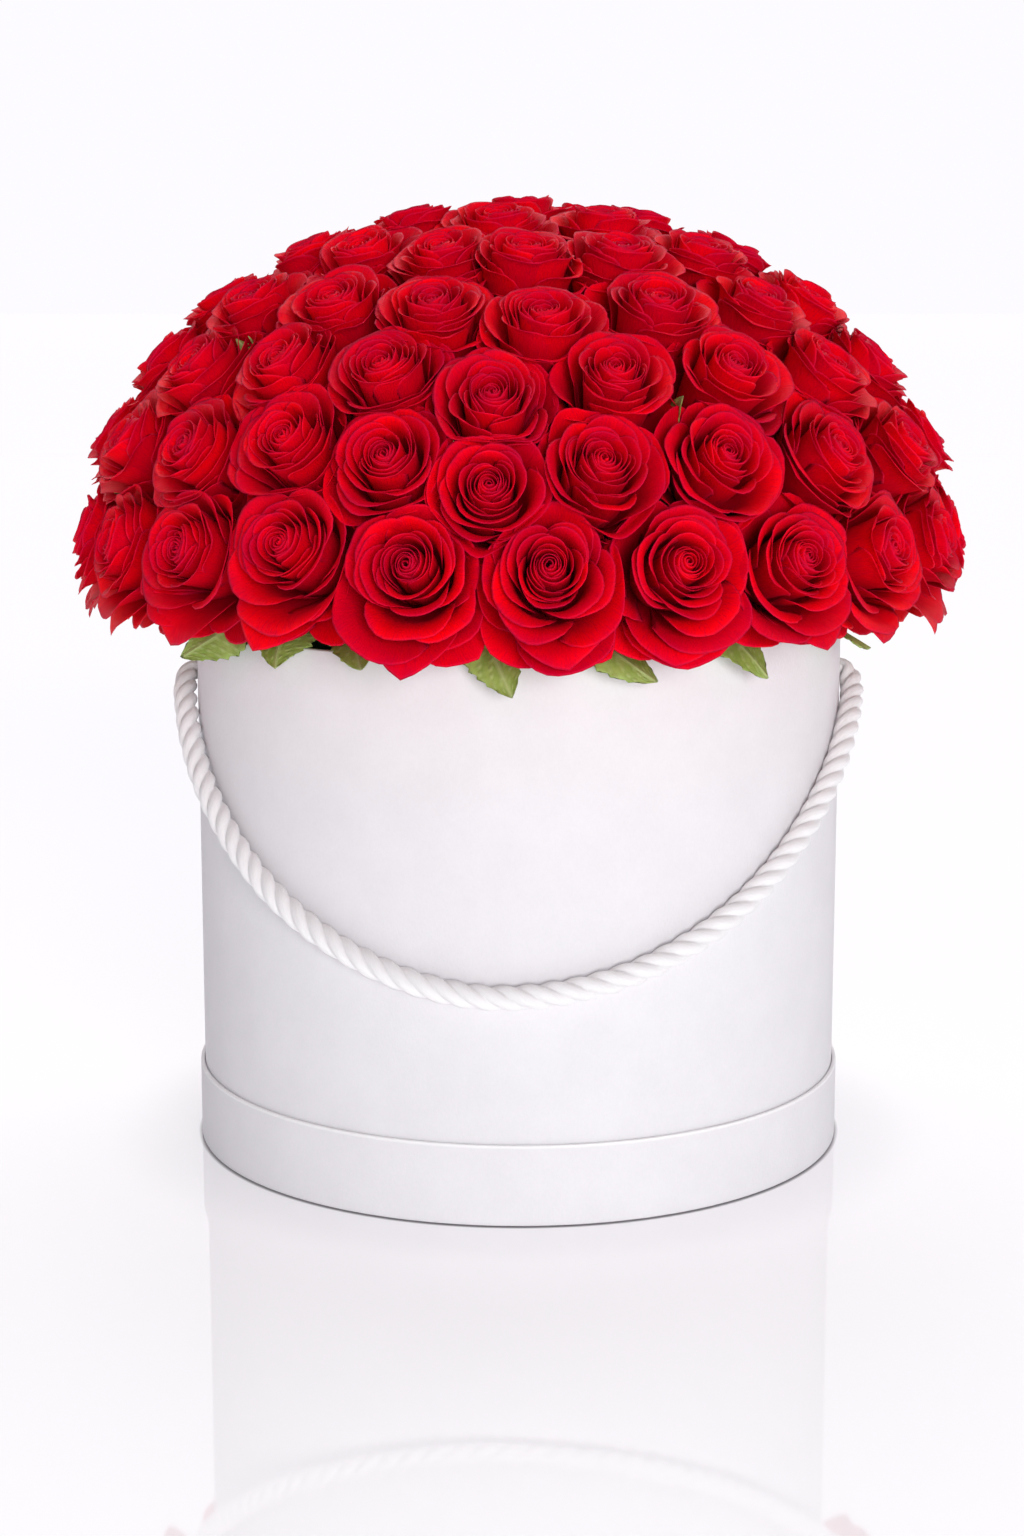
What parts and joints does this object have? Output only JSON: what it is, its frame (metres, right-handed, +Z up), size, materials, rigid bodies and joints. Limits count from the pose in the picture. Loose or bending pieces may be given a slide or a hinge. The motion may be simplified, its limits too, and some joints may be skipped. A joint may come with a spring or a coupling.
{
  "type": "flower box",
  "caption": "Round hat box standing in its upturned lid, with a twisted rope handle, a domed bouquet of cut roses set in floral foam, and a liner pot.",
  "frame": {"origin": "centre of the lid's underside, on the surface that the box stands on", "axes": "+Z up, +X to the right, -Y towards the front, where the rope handle hangs"},
  "size_m": [0.4082, 0.4084, 0.437],
  "materials": {
    "cover_paper": "satin",
    "lining_paper": "matte",
    "greyboard": "matte",
    "corrugated_card": "matte",
    "cotton_rope": "satin",
    "liner_plastic": "gloss",
    "floral_foam": "matte",
    "rose": "satin",
    "rose_green": "satin"
  },
  "bodies": {
    "lid": {"lid_disc": "greyboard", "lid_rim": "greyboard", "lid_wrap": "cover_paper"},
    "box": {"box_base_paper": "lining_paper", "box_bottom": "greyboard", "box_lining": "lining_paper", "box_tube": "greyboard", "box_wrap": "cover_paper", "filler_block": "corrugated_card"},
    "handle": {"knot_left": "cotton_rope", "knot_right": "cotton_rope", "rope": "cotton_rope"},
    "bouquet": {"foam": "floral_foam", "liner": "liner_plastic", "roses_crown_01": "rose", "roses_row1_01": "rose", "roses_row1_02": "rose", "roses_row1_03": "rose", "roses_row1_04": "rose", "roses_row1_05": "rose", "roses_row1_06": "rose", "roses_row1_07": "rose", "roses_row1_08": "rose", "roses_row1_09": "rose", "roses_row1_10": "rose", "roses_row1_11": "rose", "roses_row2_01": "rose", "roses_row2_02": "rose", "roses_row2_03": "rose", "roses_row2_04": "rose", "roses_row2_05": "rose", "roses_row2_06": "rose", "roses_row2_07": "rose", "roses_row2_08": "rose", "roses_row2_09": "rose", "roses_row2_10": "rose", "roses_row2_11": "rose", "roses_row3_01": "rose", "roses_row3_02": "rose", "roses_row3_03": "rose", "roses_row3_04": "rose", "roses_row3_05": "rose", "roses_row3_06": "rose", "roses_row3_07": "rose", "roses_row4_01": "rose", "roses_row4_02": "rose", "roses_row4_03": "rose", "roses_row4_04": "rose", "roses_row4_05": "rose", "roses_row4_06": "rose", "roses_row4_07": "rose", "roses_row4_08": "rose", "roses_row5_01": "rose", "roses_row5_02": "rose", "roses_row5_03": "rose", "roses_row5_04": "rose", "roses_row5_05": "rose", "roses_row5_06": "rose", "roses_row5_07": "rose"}
  },
  "joints": [
    {"name": "box_lift", "type": "slide", "parent": "lid", "child": "box", "axis": [0, 0, 1], "range_m": [0, 0.06]},
    {"name": "bouquet_lift", "type": "slide", "parent": "box", "child": "bouquet", "axis": [0, 0, 1], "range_m": [0, 0.15]},
    {"name": "handle_swing", "type": "hinge", "parent": "box", "child": "handle", "pos_m": [0, 0, 0.222], "axis": [-1, 0, 0], "range_deg": [0, 32]}
  ]
}
